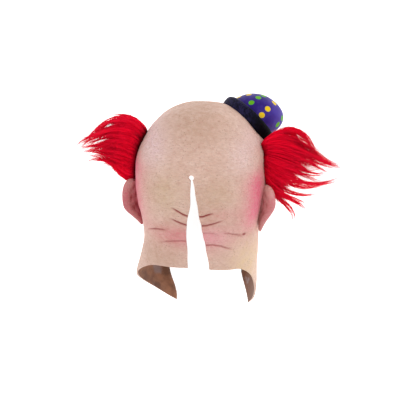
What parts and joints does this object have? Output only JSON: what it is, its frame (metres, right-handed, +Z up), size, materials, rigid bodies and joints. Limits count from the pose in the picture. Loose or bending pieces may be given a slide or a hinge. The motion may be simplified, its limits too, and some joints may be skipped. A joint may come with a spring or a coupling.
{
  "type": "latex clown mask",
  "caption": "Full-head latex clown mask, open below the nose, with a slit nape, fur tufts over the ears and a small dotted bowler hat, lying face down.",
  "frame": {"origin": "middle of the outline seen from above, at the floor it lies on", "axes": "+Z up from the floor to the back of the head, +Y to the crown, +X to the wearer's right; the face looks down"},
  "size_m": [0.3997, 0.329, 0.2465],
  "materials": {
    "latex_skin": "matte",
    "painted_hat": "satin",
    "fur": "matte"
  },
  "bodies": {
    "root": {"latex_mask": "latex_skin", "bowler_hat": "painted_hat", "hair_left": "fur", "hair_right": "fur"}
  },
  "joints": []
}
